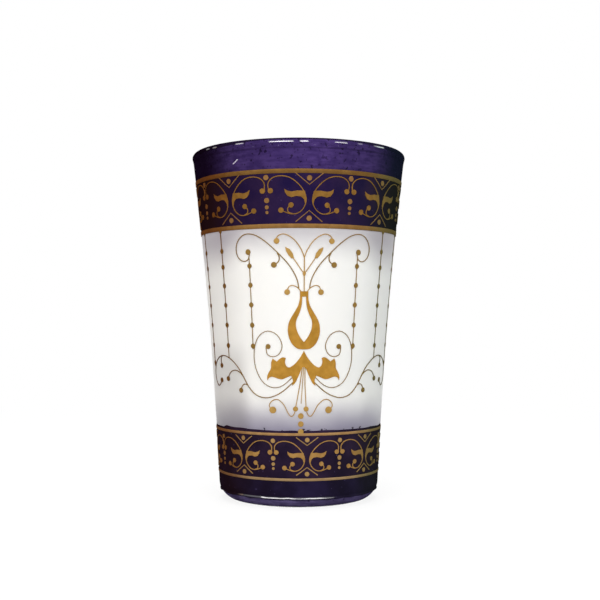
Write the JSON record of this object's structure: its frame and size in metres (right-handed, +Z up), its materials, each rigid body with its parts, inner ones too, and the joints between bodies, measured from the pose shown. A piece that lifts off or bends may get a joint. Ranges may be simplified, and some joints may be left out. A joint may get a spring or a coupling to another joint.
{
  "type": "tea glass",
  "caption": "Flared tumbler of clear glass with a thick base, violet enamel bands, a satin frost coat and fired-on gold scroll print.",
  "frame": {"origin": "middle of the ring that the glass rests on, at the table", "axes": "+Z up the axis of the glass, out of its mouth; -Y towards the front panel of the print; +X to the right of someone who faces that panel"},
  "size_m": [0.0548, 0.0548, 0.0881],
  "materials": {
    "clear_glass": "fire polished",
    "violet_stain": "gloss",
    "violet_enamel": "gloss",
    "satin_frost": "satin",
    "liquid_gold": "satin"
  },
  "bodies": {
    "root": {"glass_tumbler": "clear_glass", "rim_stain": "violet_stain", "upper_enamel": "violet_enamel", "frost_coat": "satin_frost", "lower_enamel": "violet_enamel", "foot_enamel": "violet_enamel", "heel_stain": "violet_stain", "gold_ring_under_rim": "liquid_gold", "gold_ring_over_panel": "liquid_gold", "gold_ring_under_panel": "liquid_gold", "gold_ring_over_foot": "liquid_gold", "upper_frieze_scrolls": "liquid_gold", "upper_frieze_chevrons": "liquid_gold", "upper_frieze_dots": "liquid_gold", "lower_frieze_scrolls": "liquid_gold", "lower_frieze_chevrons": "liquid_gold", "lower_frieze_dots": "liquid_gold", "front_vase": "liquid_gold", "front_lily": "liquid_gold", "front_crown": "liquid_gold", "front_sprays": "liquid_gold", "front_inner_scrolls": "liquid_gold", "front_outer_scrolls": "liquid_gold", "front_bead_strings": "liquid_gold", "front_stems": "liquid_gold", "front_foot_scrolls": "liquid_gold", "front_drops": "liquid_gold", "back_vase": "liquid_gold", "back_lily": "liquid_gold", "back_crown": "liquid_gold", "back_sprays": "liquid_gold", "back_inner_scrolls": "liquid_gold", "back_outer_scrolls": "liquid_gold", "back_bead_strings": "liquid_gold", "back_stems": "liquid_gold", "back_foot_scrolls": "liquid_gold", "back_drops": "liquid_gold"}
  },
  "joints": []
}
